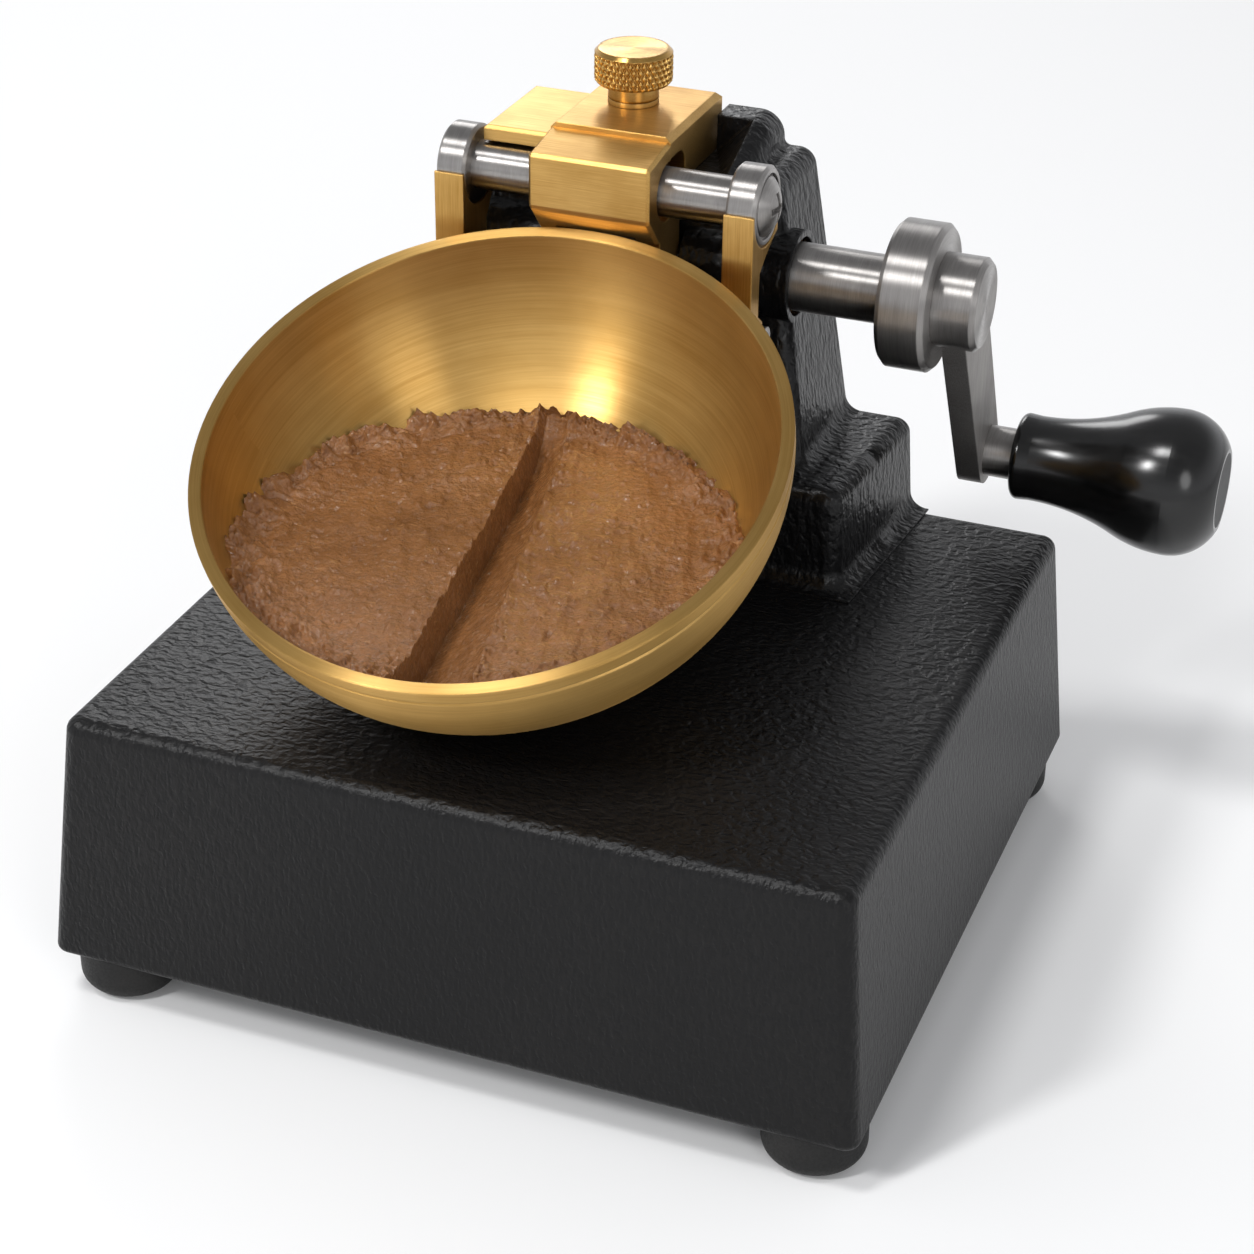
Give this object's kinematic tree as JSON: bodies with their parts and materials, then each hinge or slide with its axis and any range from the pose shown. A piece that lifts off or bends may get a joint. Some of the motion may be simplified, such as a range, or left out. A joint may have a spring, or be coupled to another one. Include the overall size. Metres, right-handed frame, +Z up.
{
  "type": "liquid limit device",
  "caption": "Bench device that lifts a brass cup of soil with a hand-cranked cam and drops it on a heavy base block.",
  "frame": {"origin": "on the bench under the middle of the whole outline, level with the bottoms of the feet", "axes": "+Z up, -Y the front of the base where the cup drops, +X the crank's side"},
  "size_m": [0.1551, 0.1327, 0.13],
  "materials": {
    "base_rubber": "hard rubber, fine matt speckle",
    "casting_black": "glossy black wrinkle paint",
    "foot_rubber": "matt",
    "brass": "satin brushed",
    "bronze": "satin turned",
    "steel": "satin turned and brushed",
    "grip_black": "glossy moulded",
    "soil": "wet, lumpy"
  },
  "bodies": {
    "frame": {"base_block": "base_rubber", "column": "casting_black", "front_left_foot": "foot_rubber", "front_right_foot": "foot_rubber", "rear_right_foot": "foot_rubber", "rear_left_foot": "foot_rubber", "foot_screws": "steel", "column_bolts": "steel", "shaft_bush_left": "bronze", "shaft_bush_right": "bronze"},
    "carriage": {"hinge_block": "brass", "clamp_block": "brass", "side_plate": "brass", "hinge_bush_left": "bronze", "hinge_bush_right": "bronze", "block_screws": "steel", "side_plate_screws": "steel"},
    "cup_unit": {"cup": "brass", "cup_hanger": "brass", "left_arm": "brass", "right_arm": "brass", "arm_screws": "steel", "knuckle_left": "steel", "knuckle_right": "steel", "hinge_rod": "steel", "rod_screws": "steel", "cam_follower": "steel", "soil_left": "soil", "soil_right": "soil"},
    "washer": {"clamp_washer": "brass"},
    "thumb": {"thumb_screw": "brass"},
    "crank": {"crankshaft": "steel", "cam": "steel", "cam_pin": "steel", "stop_collar": "steel", "collar_screw": "steel", "crank_hub": "steel", "crank_arm": "steel", "handle_spindle": "steel", "end_washer": "steel", "end_screw": "steel"},
    "grip": {"handle_grip": "grip_black", "grip_cap": "grip_black"}
  },
  "joints": [
    {"name": "carriage_slide", "type": "slide", "parent": "frame", "child": "carriage", "axis": [0, 1, 0], "range_m": [-0.0015, 0.0015]},
    {"name": "cup_hinge", "type": "hinge", "parent": "carriage", "child": "cup_unit", "pos_m": [-0.02051, 0.02472, 0.1125], "axis": [-1, 0, 0], "range_deg": [0, 18]},
    {"name": "washer_lift", "type": "slide", "parent": "frame", "child": "washer", "axis": [0, 0, 1], "range_m": [0, 0.0016]},
    {"name": "thumb_turn", "type": "hinge", "parent": "washer", "child": "thumb", "pos_m": [-0.02201, 0.03972, 0.121], "axis": [0, 0, 1], "range_deg": [0, 720]},
    {"name": "crank_turn", "type": "hinge", "parent": "frame", "child": "crank", "pos_m": [-0.02051, 0.03592, 0.0969], "axis": [1, 0, 0], "continuous": true},
    {"name": "grip_spin", "type": "hinge", "parent": "crank", "child": "grip", "pos_m": [0.05949, 0.05411, 0.06297], "axis": [1, 0, 0], "continuous": true}
  ],
  "couplings": [
    {"joint": "washer_lift", "follows": "thumb_turn", "m_per_rad": 0.00012732}
  ]
}
